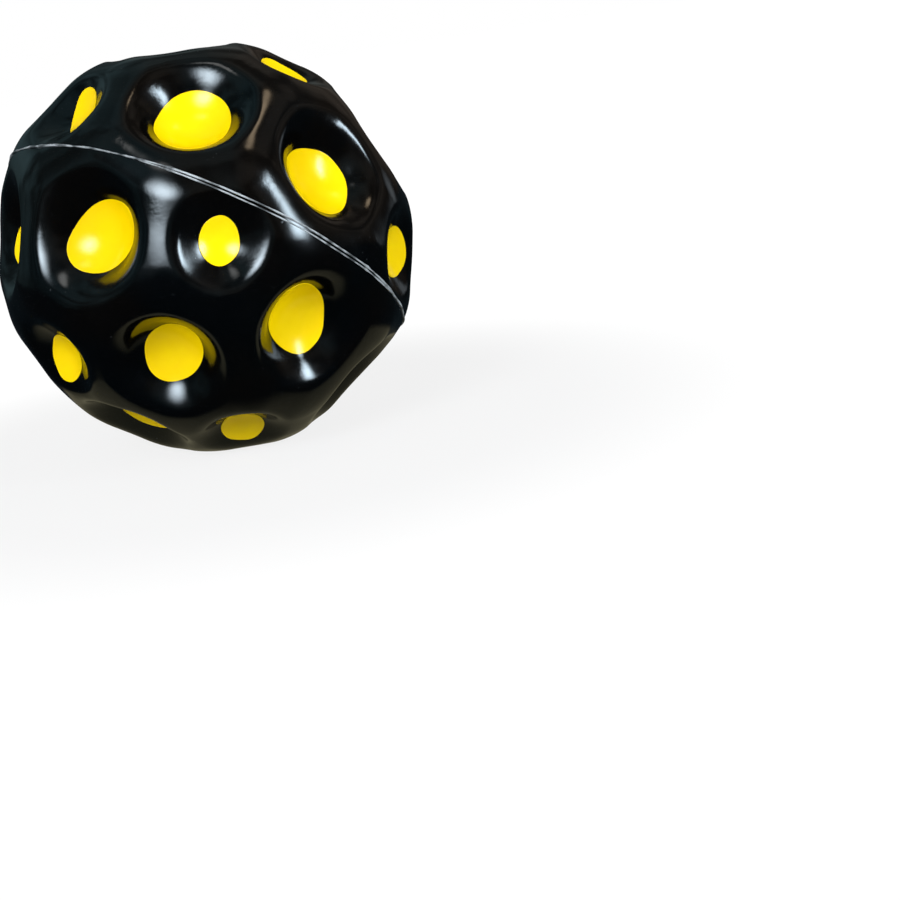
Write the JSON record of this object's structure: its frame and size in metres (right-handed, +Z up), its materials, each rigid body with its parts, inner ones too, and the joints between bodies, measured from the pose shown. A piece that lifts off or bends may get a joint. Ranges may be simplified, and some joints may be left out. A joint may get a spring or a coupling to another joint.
{
  "type": "moon ball",
  "caption": "Bouncing moon ball: a round foam ball with a glossy skin covered in bowl-shaped craters, a raised parting line round it and a painted dot on each crater floor.",
  "frame": {"origin": "centre of the ball, which is the centre of its box", "axes": "+Z up with the ball at rest on the rim of a large crater of its lower half; the pictured side faces -Y"},
  "size_m": [0.069, 0.0688, 0.0652],
  "materials": {
    "skin": "smooth glossy moulded skin, near black, with the low soft ripple of a foam skin",
    "core": "matt cellular foam",
    "flash": "thin scuffed fin that catches the light as a pale grey line",
    "paint": "smooth glossy yellow paint film with a slightly uneven edge"
  },
  "bodies": {
    "root": {"foam_core": "core", "skin_upper": "skin", "skin_lower": "skin", "parting_line_flash": "flash", "paint_upper_large_pole": "paint", "paint_upper_small_seam_1": "paint", "paint_upper_large_seam_1a": "paint", "paint_upper_large_seam_1b": "paint", "paint_upper_large_ring_1": "paint", "paint_upper_small_ring_1": "paint", "paint_upper_small_seam_2": "paint", "paint_upper_large_seam_2a": "paint", "paint_upper_large_seam_2b": "paint", "paint_upper_large_ring_2": "paint", "paint_upper_small_ring_2": "paint", "paint_upper_small_seam_3": "paint", "paint_upper_large_seam_3a": "paint", "paint_upper_large_seam_3b": "paint", "paint_upper_large_ring_3": "paint", "paint_upper_small_ring_3": "paint", "paint_lower_large_pole": "paint", "paint_lower_small_seam_1": "paint", "paint_lower_large_seam_1a": "paint", "paint_lower_large_seam_1b": "paint", "paint_lower_large_ring_1": "paint", "paint_lower_small_ring_1": "paint", "paint_lower_small_seam_2": "paint", "paint_lower_large_seam_2a": "paint", "paint_lower_large_seam_2b": "paint", "paint_lower_large_ring_2": "paint", "paint_lower_small_ring_2": "paint", "paint_lower_small_seam_3": "paint", "paint_lower_large_seam_3a": "paint", "paint_lower_large_seam_3b": "paint", "paint_lower_large_ring_3": "paint", "paint_lower_small_ring_3": "paint"}
  },
  "joints": []
}
